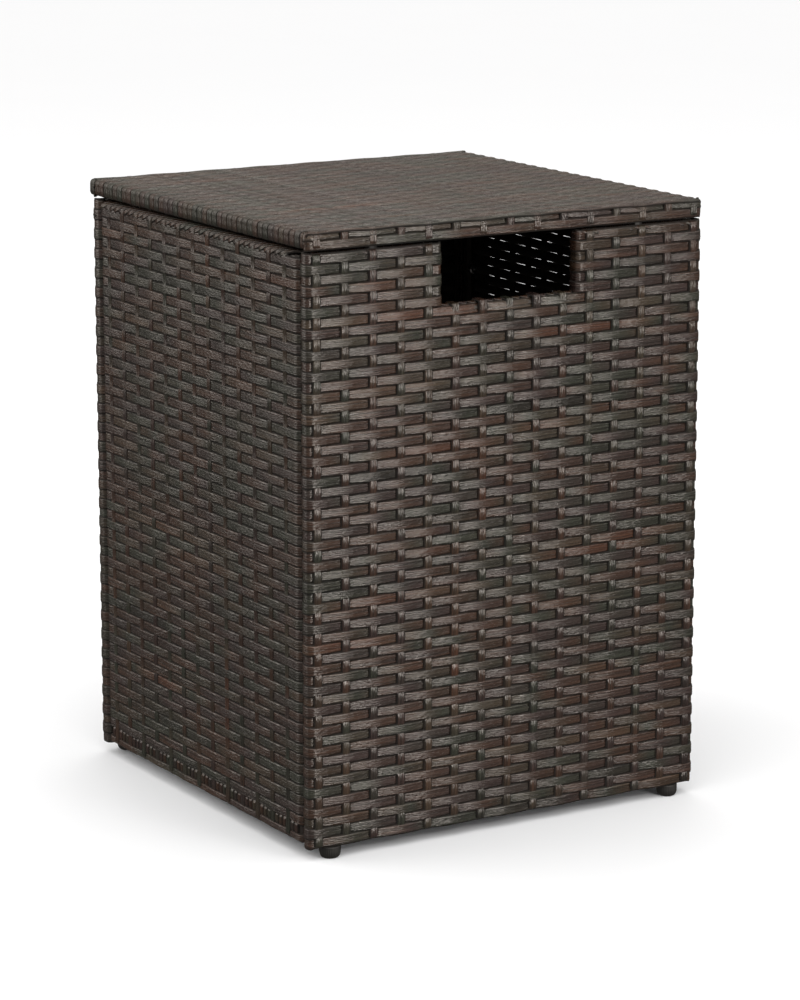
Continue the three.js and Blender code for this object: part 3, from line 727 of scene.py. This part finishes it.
def lid_weave(panel, weave, material):
    """The lid: rows over the side edges, two rows on the front and back edges, and stakes."""
    spare = MEMBER_RADIUS - weave.strip_thickness * LID_ROWS_SPARE_SHARE
    tall = panel.height + 2 * spare
    rows = round(tall / weave.row_pitch)
    heights = [(row + 0.5) * tall / rows - spare for row in range(rows)]
    stakes, first = centred_stakes(panel.width, weave.stake_pitch)
    strips = []
    for row, up in enumerate(heights):
        strips.append(row_strand(panel, weave, first, stakes, row, up, DRIFT_SEEDS["lid_rows"] + row))
    woven_piece("lid_rows", strips, weave.strip_thickness, panel, material, TONE_SEEDS["lid_rows"])
    woven_piece("lid_edge_rows", lid_edge_strands(panel, weave, first, stakes), weave.strip_thickness,
                panel, material, TONE_SEEDS["lid_edge_rows"])
    half = LID_THICKNESS / 4
    past_bend = MEMBER_RADIUS - 2 * panel.edge_bend + panel.edge_bend * math.pi / 2
    upper, lower = past_bend + half, past_bend + 3 * half
    crossings = [-lower, -upper, *heights, panel.height + upper, panel.height + lower]
    strips = []
    for stake in range(stakes):
        strips.append(stake_strand(panel, weave, first + stake * weave.stake_pitch, crossings, stake + 1,
                                   DRIFT_SEEDS["lid_stakes"] + stake))
    woven_piece("lid_stakes", strips, weave.strip_thickness, panel, material, TONE_SEEDS["lid_stakes"])


def foot_profile(top, tall):
    """A foot's outline as radius, height and whether its ribs show there, from sole to shoulder."""
    sole = top * FOOT_SOLE_SHARE
    bulge = tall * FOOT_BULGE_SHARE
    profile = [(0.0, 0.0, False), (sole * FOOT_FLAT_SHARE, 0.0, False)]
    for turn in np.linspace(0.0, math.pi / 2, FOOT_CURVE_POINTS):
        height = FOOT_TOE + (bulge - FOOT_TOE) * (1 - math.cos(turn))
        profile.append((sole + (top - sole) * math.sin(turn), height, turn > 0.0))
    for turn in np.linspace(0.0, math.pi / 2, FOOT_SHOULDER_POINTS):
        height = tall - FOOT_SHOULDER + FOOT_SHOULDER * math.sin(turn)
        profile.append((top - FOOT_SHOULDER + FOOT_SHOULDER * math.cos(turn), height, turn == 0.0))
    profile.append((0.0, tall, False))
    return profile


def ribbed_foot(corner, material):
    """A moulded foot: fine upright ribs, a rounded shoulder and a narrower rounded sole."""
    low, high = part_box(f"{corner}_foot")
    middle = (low + high) / 2
    profile = foot_profile((high.x - low.x) / 2, high.z - low.z)
    radii, heights, ribbed = (np.array(part) for part in zip(*profile))
    around = FOOT_RIBS * POINTS_TO_RIB
    angle = np.arange(around) * 2 * math.pi / around
    inward = (1 - np.cos(angle * FOOT_RIBS)) / 2 * FOOT_RIB_DEPTH
    radius = radii[:, None] - ribbed[:, None] * inward
    points = np.stack((middle.x + radius * np.cos(angle), middle.y + radius * np.sin(angle),
                       low.z + heights[:, None] + np.zeros_like(radius)), -1)
    faces = []
    for level in range(len(radii) - 1):
        base, above = level * around, (level + 1) * around
        for number in range(around):
            after = (number + 1) % around
            faces.append((base + number, base + after, above + after, above + number))
    mesh = bpy.data.meshes.new(f"{corner}_ribbed_foot")
    mesh.from_pydata(points.reshape(-1, 3), [], faces)
    work = bmesh.new()
    work.from_mesh(mesh)
    bmesh.ops.remove_doubles(work, verts=work.verts, dist=SAME_POINT)
    work.to_mesh(mesh)
    work.free()
    mesh.polygons.foreach_set("use_smooth", np.ones(len(mesh.polygons), dtype=bool))
    mesh.materials.append(material)
    piece = bpy.data.objects.new(f"{corner}_ribbed_foot", mesh)
    bpy.context.scene.collection.objects.link(piece)
    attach(piece, f"{corner}_glide")
    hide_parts(f"{corner}_foot")


# Materials


def add_node(tree, kind, settings=None, **links):
    """Adds a shader node, sets its values and links its inputs. A link called in_0 goes to input 0."""
    node = tree.nodes.new(kind)
    for key, value in (settings or {}).items():
        if isinstance(key, str) and hasattr(node, key):
            setattr(node, key, value)
        else:
            node.inputs[key].default_value = value
    for key, source in links.items():
        name = key.replace("_", " ")
        target = node.inputs[int(name[3:])] if name.startswith("in ") else node.inputs[name]
        tree.links.new(source, target)
    return node


def new_material(name):
    """An empty material with its shader joined to its output."""
    material = bpy.data.materials.new(name)
    material.use_nodes = True
    tree = material.node_tree
    return material, tree, tree.nodes["Principled BSDF"]


def add_bump(tree, shader, height, strength, distance):
    """Joins a height to the shader as a bump that stands for a real distance."""
    bump = add_node(tree, "ShaderNodeBump", {"Strength": strength, "Distance": distance}, Height=height)
    tree.links.new(bump.outputs["Normal"], shader.inputs["Normal"])


def strip_colour(tree, colours, along, spread):
    """The colour runs of the strip: slow changes along it, at another place in the noise for each strip."""
    slow = add_node(tree, "ShaderNodeMath", {"operation": "MULTIPLY", 1: 1 / COLOUR_RUN}, in_0=along)
    place = add_node(tree, "ShaderNodeCombineXYZ", X=slow.outputs[0], Y=spread)
    drift = add_node(tree, "ShaderNodeTexNoise", {"Scale": 1.0, "Detail": 1.5}, Vector=place.outputs[0])
    picked = add_node(tree, "ShaderNodeMapRange", {"From Min": 0.28, "From Max": 0.72},
                      Value=drift.outputs["Fac"])
    ramp = add_node(tree, "ShaderNodeValToRGB", Fac=picked.outputs[0])
    stops = (colours.near_black, colours.grey_green, colours.purple_brown, colours.brown,
             colours.grey_green, colours.tan, colours.red_brown)
    elements = ramp.color_ramp.elements
    for number, colour in enumerate(stops):
        share = number / (len(stops) - 1)
        element = elements[number] if number < 2 else elements.new(share)
        element.position = share
        element.color = (*colour, 1.0)
    return ramp.outputs["Color"]


def strip_fibre(tree, along, round_strip, spread):
    """Fine lines that run along the strip, as the die draws them."""
    lengthwise = add_node(tree, "ShaderNodeMath", {"operation": "MULTIPLY", 1: 1 / FIBRE_RUN}, in_0=along)
    crosswise = add_node(tree, "ShaderNodeMath", {"operation": "MULTIPLY", 1: 1 / FIBRE_WIDTH},
                         in_0=round_strip)
    place = add_node(tree, "ShaderNodeCombineXYZ", X=lengthwise.outputs[0], Y=crosswise.outputs[0],
                     Z=spread)
    fibre = add_node(tree, "ShaderNodeTexNoise", {"Scale": 1.0, "Detail": 2.0}, Vector=place.outputs[0])
    return fibre.outputs["Fac"]


def woven_resin(colours):
    """Polyethylene resin strip, extruded with ribs and rolled with a fine grain. The colours run
    lengthwise through the strip, the grain breaks up its gloss and the ribs catch thin lines. The lips
    and the underside are matt and carry painted shade, a darkened colour that stands for the shadow in
    each gap between two strips, so the gap reads as deep."""
    material, tree, shader = new_material("polyethylene_resin_extruded_strip")
    strip_map = add_node(tree, "ShaderNodeUVMap", {"uv_map": "StripMap"})
    parts = add_node(tree, "ShaderNodeSeparateXYZ", Vector=strip_map.outputs["UV"])
    tone = add_node(tree, "ShaderNodeAttribute", {"attribute_name": "strip_tone"})
    edge = add_node(tree, "ShaderNodeAttribute", {"attribute_name": "strip_edge"})
    spread = add_node(tree, "ShaderNodeMath", {"operation": "MULTIPLY", 1: TONE_SPREAD},
                      in_0=tone.outputs["Fac"])
    colour = strip_colour(tree, colours, parts.outputs["X"], spread.outputs[0])
    fibre = strip_fibre(tree, parts.outputs["X"], parts.outputs["Y"], spread.outputs[0])
    lines = add_node(tree, "ShaderNodeMapRange",
                     {"From Min": 0.33, "From Max": 0.67, "To Min": 0.5, "To Max": 1.5}, Value=fibre)
    # Painted shade: the lips and underside are darkened to a fifth of the strip's colour, as if in the
    # shadow of the gap between strips
    lip = add_node(tree, "ShaderNodeMapRange", {"To Min": 1.0, "To Max": 0.2}, Value=edge.outputs["Fac"])
    # The fibre lines are the strip's own colour; the lip factor is painted shade
    shade = add_node(tree, "ShaderNodeMath", {"operation": "MULTIPLY"}, in_0=lines.outputs[0],
                     in_1=lip.outputs[0])
    tinted = add_node(tree, "ShaderNodeVectorMath", {"operation": "SCALE"}, Vector=colour,
                      Scale=shade.outputs[0])
    tree.links.new(tinted.outputs[0], shader.inputs["Base Color"])
    grain_place = add_node(tree, "ShaderNodeVectorMath",
                           {"operation": "MULTIPLY", 1: (1 / GRAIN_RUN, 1 / GRAIN_WIDTH, 1.0)},
                           in_0=strip_map.outputs["UV"])
    grain = add_node(tree, "ShaderNodeTexNoise", {"Scale": 1.0, "Detail": 2.0},
                     Vector=grain_place.outputs[0])
    gloss = add_node(tree, "ShaderNodeMapRange",
                     {"From Min": 0.3, "From Max": 0.7, "To Min": 0.18, "To Max": 0.3},
                     Value=grain.outputs["Fac"])
    rough = add_node(tree, "ShaderNodeMath", {"operation": "MAXIMUM"}, in_0=gloss.outputs[0],
                     in_1=edge.outputs["Fac"])
    tree.links.new(rough.outputs[0], shader.inputs["Roughness"])
    relief = add_node(tree, "ShaderNodeMath", {"operation": "MULTIPLY_ADD", 1: 3.5},
                      in_0=grain.outputs["Fac"], in_2=fibre)
    add_bump(tree, shader, relief.outputs[0], 0.8, RESIN_BUMP)
    shader.inputs["IOR"].default_value = 1.51
    shader.inputs["Specular IOR Level"].default_value = 0.5
    return material


def speckled(tree, shader, speck, detail, colour, low_share, high_share):
    """A noise in the object's own space that varies a colour between two shares of itself."""
    place = add_node(tree, "ShaderNodeTexCoord")
    noise = add_node(tree, "ShaderNodeTexNoise", {"Scale": 1 / speck, "Detail": detail},
                     Vector=place.outputs["Object"])
    ramp = add_node(tree, "ShaderNodeValToRGB", Fac=noise.outputs["Fac"])
    for element, share in zip(ramp.color_ramp.elements, (low_share, high_share)):
        element.color = (*[part * share for part in colour], 1.0)
    tree.links.new(ramp.outputs["Color"], shader.inputs["Base Color"])
    return noise.outputs["Fac"]


def coated_steel(colours):
    """Steel tube with a baked powder coat: a satin face with a fine orange-peel ripple."""
    material, tree, shader = new_material("steel_tube_powder_coated")
    peel = speckled(tree, shader, PEEL_SPECK, 2.0, colours.coat, 0.8, 1.25)
    add_bump(tree, shader, peel, 0.3, PEEL_BUMP)
    shader.inputs["Roughness"].default_value = 0.45
    return material


def plated_steel(colours):
    """Turned steel with bright zinc plating: pale, slightly cloudy metal, here shiny and there dull."""
    material, tree, shader = new_material("steel_turned_zinc_plated")
    cloud = speckled(tree, shader, ZINC_SPECK, 3.0, colours.zinc, 0.75, 1.0)
    rough = add_node(tree, "ShaderNodeMapRange", {"To Min": 0.22, "To Max": 0.45}, Value=cloud)
    tree.links.new(rough.outputs[0], shader.inputs["Roughness"])
    shader.inputs["Metallic"].default_value = 1.0
    return material


def moulded_plastic(colours):
    """Injection-moulded black polypropylene: matt from the mould's spark-eroded texture."""
    material, tree, shader = new_material("polypropylene_injection_moulded")
    pits = speckled(tree, shader, MOULD_SPECK, 2.0, colours.plastic, 0.7, 1.3)
    add_bump(tree, shader, pits, 0.4, MOULD_BUMP)
    shader.inputs["Roughness"].default_value = 0.5
    shader.inputs["IOR"].default_value = 1.49
    return material


def wicker_material():
    """The strip's material, made once."""
    made = bpy.data.materials.get("polyethylene_resin_extruded_strip")
    return made or woven_resin(bpy.context.scene.tank_table_wicker)


def plastic_material():
    """The feet's and pegs' material, made once."""
    made = bpy.data.materials.get("polypropylene_injection_moulded")
    return made or moulded_plastic(bpy.context.scene.tank_table_frame)


# Operators


class TANKTABLE_OT_front_wall(bpy.types.Operator):
    """Weave the front wall with its hose slot"""

    bl_idname = "tank_table.front_wall"
    bl_label = "Front Wall"

    def execute(self, context):
        weave = context.scene.tank_table_weave
        panel = wall_panels()["front"]
        material = wicker_material()
        wide_wall(panel, weave, material, True)
        left, right = panel.width / 2 - JAMB_OFFSET, panel.width / 2 + JAMB_OFFSET
        turns = round(left / weave.row_pitch)
        for name, span in (("front_left_rim", (0.0, left)), ("front_right_rim", (right, panel.width))):
            windings(panel, weave, material, name, span, panel.height, turns, WIDE_RIM_SLANT,
                     FRONT_RIM_ARC, FRONT_RIM_PROUD)
        sill = (left + MEMBER_RADIUS, right - MEMBER_RADIUS)
        windings(panel, weave, material, "front_sill", sill, SILL_HEIGHT - panel.corner[2],
                 round((sill[1] - sill[0]) / weave.row_pitch), WIDE_RIM_SLANT, SILL_ARC, SILL_PROUD)
        return {"FINISHED"}


class TANKTABLE_OT_back_wall(bpy.types.Operator):
    """Weave the plain back wall"""

    bl_idname = "tank_table.back_wall"
    bl_label = "Back Wall"

    def execute(self, context):
        weave = context.scene.tank_table_weave
        panel = wall_panels()["back"]
        material = wicker_material()
        wide_wall(panel, weave, material, False)
        windings(panel, weave, material, "back_rim", (0.0, panel.width), panel.height,
                 round(panel.width / weave.row_pitch), WIDE_RIM_SLANT, BACK_RIM_ARC, BACK_RIM_PROUD)
        return {"FINISHED"}


class TANKTABLE_OT_side_walls(bpy.types.Operator):
    """Weave the left and right walls"""

    bl_idname = "tank_table.side_walls"
    bl_label = "Side Walls"

    def execute(self, context):
        weave = context.scene.tank_table_weave
        material = wicker_material()
        for side in ("left", "right"):
            panel = wall_panels()[side]
            side_wall(panel, weave, material)
            windings(panel, weave, material, f"{side}_rim", (0.0, panel.width), panel.height,
                     round(panel.width * SIDE_RIM_TURNS_TO_STAKE / weave.stake_pitch), SIDE_RIM_SLANT,
                     SIDE_RIM_ARC, SIDE_RIM_PROUD)
        return {"FINISHED"}


class TANKTABLE_OT_lid(bpy.types.Operator):
    """Weave the lid"""

    bl_idname = "tank_table.lid"
    bl_label = "Lid"

    def execute(self, context):
        lid_weave(lid_panel(), context.scene.tank_table_weave, wicker_material())
        return {"FINISHED"}


class TANKTABLE_OT_frame_finish(bpy.types.Operator):
    """Finish the steel frame, bolts and pegs"""

    bl_idname = "tank_table.frame_finish"
    bl_label = "Frame Finishes"

    def execute(self, context):
        colours = context.scene.tank_table_frame
        coat, zinc, plastic = coated_steel(colours), plated_steel(colours), plastic_material()
        for name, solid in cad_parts.items():
            if name.endswith(("_weave", "_foot")):
                continue
            finish = coat
            if name.endswith(("_bolt", "_stud", "_insert")):
                finish = zinc
            elif name.endswith("_peg"):
                finish = plastic
            for number in range(max(1, len(solid.material_slots))):
                if solid.material_slots:
                    solid.material_slots[number].material = finish
                else:
                    solid.data.materials.append(finish)
        return {"FINISHED"}


class TANKTABLE_OT_feet(bpy.types.Operator):
    """Mould the four ribbed feet"""

    bl_idname = "tank_table.feet"
    bl_label = "Feet"

    def execute(self, context):
        material = plastic_material()
        for corner in CORNERS:
            ribbed_foot(corner, material)
        return {"FINISHED"}


class TANKTABLE_OT_stage(bpy.types.Operator):
    """Lay the floor and set the light and the camera"""

    bl_idname = "tank_table.stage"
    bl_label = "Stage"

    def execute(self, context):
        studio = context.scene.tank_table_studio
        lay_floor(studio)
        set_ambient(studio)
        set_lights(studio)
        set_camera(studio)
        context.scene.view_settings.view_transform = "Standard"
        return {"FINISHED"}


# Stage


def lay_floor(studio):
    """A pale matt floor, far wider than the table. It throws no light back, so the weave keeps its
    shade as it does beside a photographer's black cards."""
    corners = [(x * FLOOR_REACH, y * FLOOR_REACH, 0.0) for x, y in ((-1, -1), (1, -1), (1, 1), (-1, 1))]
    mesh = bpy.data.meshes.new("studio_floor")
    mesh.from_pydata(corners, [], [(0, 1, 2, 3)])
    floor = bpy.data.objects.new("studio_floor", mesh)
    bpy.context.scene.collection.objects.link(floor)
    material, tree, shader = new_material("studio_floor_painted_matt")
    speckled(tree, shader, FLOOR_SPECK, 2.0, studio.floor, 0.99, 1.0)
    shader.inputs["Roughness"].default_value = 0.9
    shader.inputs["Specular IOR Level"].default_value = 0.0
    mesh.materials.append(material)
    floor.visible_glossy = False
    floor.visible_diffuse = False


def set_ambient(studio):
    """White light from above, less from behind and little from below, with a backdrop that shows as clean
    white."""
    world = bpy.data.worlds.new("studio_world")
    world.use_nodes = True
    tree = world.node_tree
    tree.nodes.clear()
    place = add_node(tree, "ShaderNodeTexCoord")
    parts = add_node(tree, "ShaderNodeSeparateXYZ", Vector=place.outputs["Generated"])
    strength = add_node(tree, "ShaderNodeMapRange",
                        {"interpolation_type": "SMOOTHSTEP", "From Min": -0.1, "From Max": 0.75,
                         "To Min": studio.low_ambient, "To Max": studio.ambient}, Value=parts.outputs["Z"])
    behind = (-math.sin(studio.turn), math.cos(studio.turn), 0.0)
    depth = add_node(tree, "ShaderNodeVectorMath", {"operation": "DOT_PRODUCT", 1: behind},
                     in_0=place.outputs["Generated"])
    share = add_node(tree, "ShaderNodeMapRange",
                     {"From Min": 0.1, "From Max": 0.6, "To Min": 1.0, "To Max": studio.back_share},
                     Value=depth.outputs["Value"])
    shaded = add_node(tree, "ShaderNodeMath", {"operation": "MULTIPLY"}, in_0=strength.outputs[0],
                      in_1=share.outputs[0])
    light = add_node(tree, "ShaderNodeBackground", {"Color": (*studio.light, 1.0)},
                     Strength=shaded.outputs[0])
    shown = add_node(tree, "ShaderNodeBackground", {"Color": (1, 1, 1, 1), "Strength": studio.backdrop})
    path = add_node(tree, "ShaderNodeLightPath")
    mixed = add_node(tree, "ShaderNodeMixShader", Fac=path.outputs["Is Camera Ray"], in_1=light.outputs[0],
                     in_2=shown.outputs[0])
    out = add_node(tree, "ShaderNodeOutputWorld")
    tree.links.new(mixed.outputs[0], out.inputs["Surface"])
    bpy.context.scene.world = world


def around_the_table(turn, rise):
    """The direction from the table toward a place turned from the front and raised above the floor."""
    return Vector((math.sin(turn) * math.cos(rise), -math.cos(turn) * math.cos(rise), math.sin(rise)))


def soft_box(box, studio):
    """A soft box that the camera doesn't see."""
    data = bpy.data.lights.new(box.name, "AREA")
    data.shape = "RECTANGLE"
    data.size, data.size_y = box.width, box.depth
    data.energy = getattr(studio, box.power)
    data.color = studio.light
    light = bpy.data.objects.new(box.name, data)
    light.location = around_the_table(math.radians(box.turn), 0.0) * box.reach
    light.location.z = box.height
    light.rotation_euler = (Vector(LIGHT_AIM) - light.location).to_track_quat("-Z", "Y").to_euler()
    light.visible_camera = False
    bpy.context.scene.collection.objects.link(light)


def wide_light(studio):
    """Soft light from a wide patch of sky above the camera."""
    data = bpy.data.lights.new("wide_soft_light", "SUN")
    data.energy = studio.sun
    data.angle = math.radians(WIDE_LIGHT_SPREAD)
    data.color = studio.light
    light = bpy.data.objects.new("wide_soft_light", data)
    toward = around_the_table(studio.turn, math.radians(WIDE_LIGHT_RISE))
    light.rotation_euler = (-toward).to_track_quat("-Z", "Y").to_euler()
    bpy.context.scene.collection.objects.link(light)


def set_lights(studio):
    """A soft box before the front wall, a narrow high one for its leaning edges, one high behind the table,
    one beside the left wall and a wide soft light from above the camera."""
    for box in SOFT_BOXES:
        soft_box(box, studio)
    wide_light(studio)


def set_camera(studio):
    """The camera at the photograph's angle."""
    data = bpy.data.cameras.new("photo_camera")
    data.lens = studio.lens
    data.clip_start, data.clip_end = CAMERA_NEAR, CAMERA_FAR
    camera = bpy.data.objects.new("photo_camera", data)
    toward = around_the_table(studio.turn, studio.rise)
    camera.location = Vector(studio.aim) + toward * studio.distance
    camera.rotation_euler = (-toward).to_track_quat("-Z", "Y").to_euler()
    bpy.context.scene.collection.objects.link(camera)
    bpy.context.scene.camera = camera


# Sidebar and registration


class TANKTABLE_PT_sidebar(bpy.types.Panel):
    """Sidebar list of the table's pieces"""

    bl_idname = "TANKTABLE_PT_sidebar"
    bl_label = "Tank Table"
    bl_space_type = "VIEW_3D"
    bl_region_type = "UI"
    bl_category = "Tank Table"

    def draw(self, context):
        for operator in OPERATORS:
            self.layout.operator(operator.bl_idname)


OPERATORS = (TANKTABLE_OT_front_wall, TANKTABLE_OT_back_wall, TANKTABLE_OT_side_walls, TANKTABLE_OT_lid,
             TANKTABLE_OT_frame_finish, TANKTABLE_OT_feet, TANKTABLE_OT_stage)
SETTINGS = {
    "tank_table_weave": WeaveSettings,
    "tank_table_wicker": WickerColours,
    "tank_table_frame": FrameColours,
    "tank_table_studio": StudioSettings,
}


def register():
    """Registers the classes and hangs the settings on the scene."""
    for kind in (*SETTINGS.values(), *OPERATORS, TANKTABLE_PT_sidebar):
        bpy.utils.register_class(kind)
    for name, kind in SETTINGS.items():
        setattr(bpy.types.Scene, name, bpy.props.PointerProperty(type=kind))


def unregister():
    """Takes the settings and classes away again."""
    for name in SETTINGS:
        delattr(bpy.types.Scene, name)
    for kind in reversed((*SETTINGS.values(), *OPERATORS, TANKTABLE_PT_sidebar)):
        bpy.utils.unregister_class(kind)


def main():
    """Makes every piece."""
    register()
    for operator in OPERATORS:
        group, name = operator.bl_idname.split(".")
        getattr(getattr(bpy.ops, group), name)()


if __name__ == "__main__":
    main()
